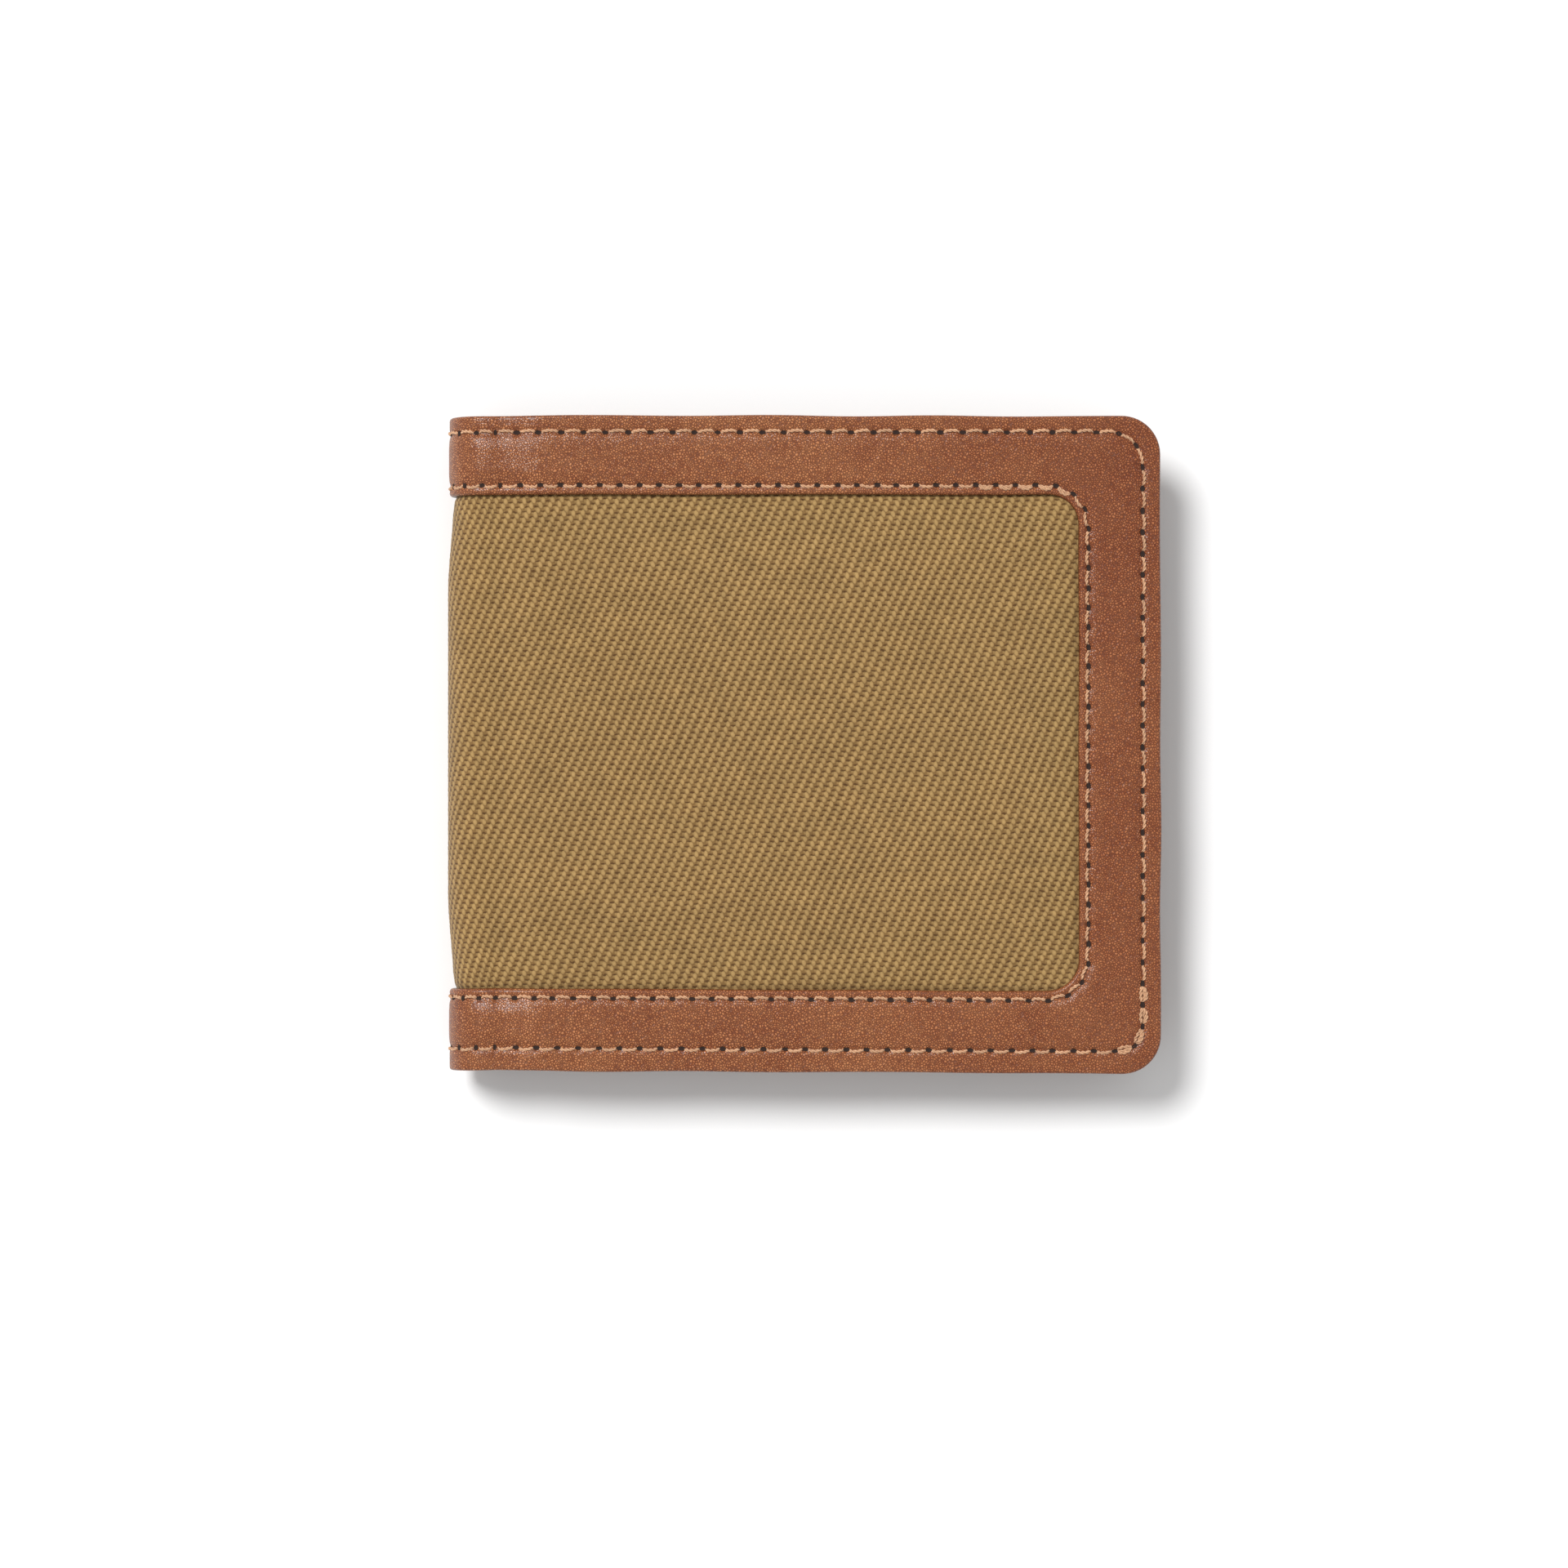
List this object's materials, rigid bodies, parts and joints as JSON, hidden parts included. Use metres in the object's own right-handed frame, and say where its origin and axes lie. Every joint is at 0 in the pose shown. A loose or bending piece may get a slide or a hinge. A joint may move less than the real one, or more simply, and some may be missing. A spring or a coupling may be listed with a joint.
{
  "type": "bifold wallet",
  "caption": "Closed bifold wallet: khaki twill panels in a stitched C-shaped leather frame, soft folding spine, lining, bill compartment and stepped card pockets.",
  "frame": {"origin": "centre of the bounding box's bottom face, with the wallet closed and lying on its back cover", "axes": "+X from the spine to the fore edge, +Y to the open top edge of the bill compartment, +Z from the back cover to the front cover"},
  "size_m": [0.11, 0.1014, 0.015],
  "materials": {
    "leather": "fine pebble grain, satin, tan brown",
    "panel_leather": "fine grain, satin, tan brown",
    "twill": "steep cotton twill, khaki, matte",
    "interlining": "thin foam interlining, matte",
    "lining": "plain-weave cotton, brown, matte",
    "thread": "twisted sewing thread, light tan, slight sheen"
  },
  "bodies": {
    "back_half": {"back_leather_frame": "leather", "back_outer_seam": "thread", "back_window_seam": "thread", "back_twill_panel": "twill", "back_interlining": "interlining", "back_lining": "lining", "back_bill_divider": "panel_leather", "back_card_pocket_1": "panel_leather", "back_card_pocket_2": "panel_leather", "back_card_pocket_3": "panel_leather"},
    "spine_lower": {"spine_lower_leather_top": "leather", "spine_lower_leather_bottom": "leather", "spine_lower_twill": "twill", "spine_lower_lining": "lining"},
    "spine_upper": {"spine_upper_leather_top": "leather", "spine_upper_leather_bottom": "leather", "spine_upper_twill": "twill", "spine_upper_lining": "lining"},
    "front_half": {"front_leather_frame": "leather", "front_outer_seam": "thread", "front_window_seam": "thread", "front_twill_panel": "twill", "front_interlining": "interlining", "front_lining": "lining", "front_bill_divider": "panel_leather", "front_card_pocket_1": "panel_leather", "front_card_pocket_2": "panel_leather", "front_card_pocket_3": "panel_leather"}
  },
  "joints": [
    {"name": "lower_fold", "type": "hinge", "parent": "back_half", "child": "spine_lower", "pos_m": [-0.0475, 0, 0], "axis": [0, -1, 0], "range_deg": [0, 45]},
    {"name": "spine_fold", "type": "hinge", "parent": "spine_lower", "child": "spine_upper", "pos_m": [-0.055, 0, 0.0075], "axis": [0, -1, 0], "range_deg": [0, 90]},
    {"name": "cover_fold", "type": "hinge", "parent": "spine_upper", "child": "front_half", "pos_m": [-0.0475, 0, 0.015], "axis": [0, -1, 0], "range_deg": [0, 45]}
  ],
  "couplings": [
    {"joint": "lower_fold", "follows": "spine_fold", "ratio": 0.5},
    {"joint": "cover_fold", "follows": "spine_fold", "ratio": 0.5}
  ]
}
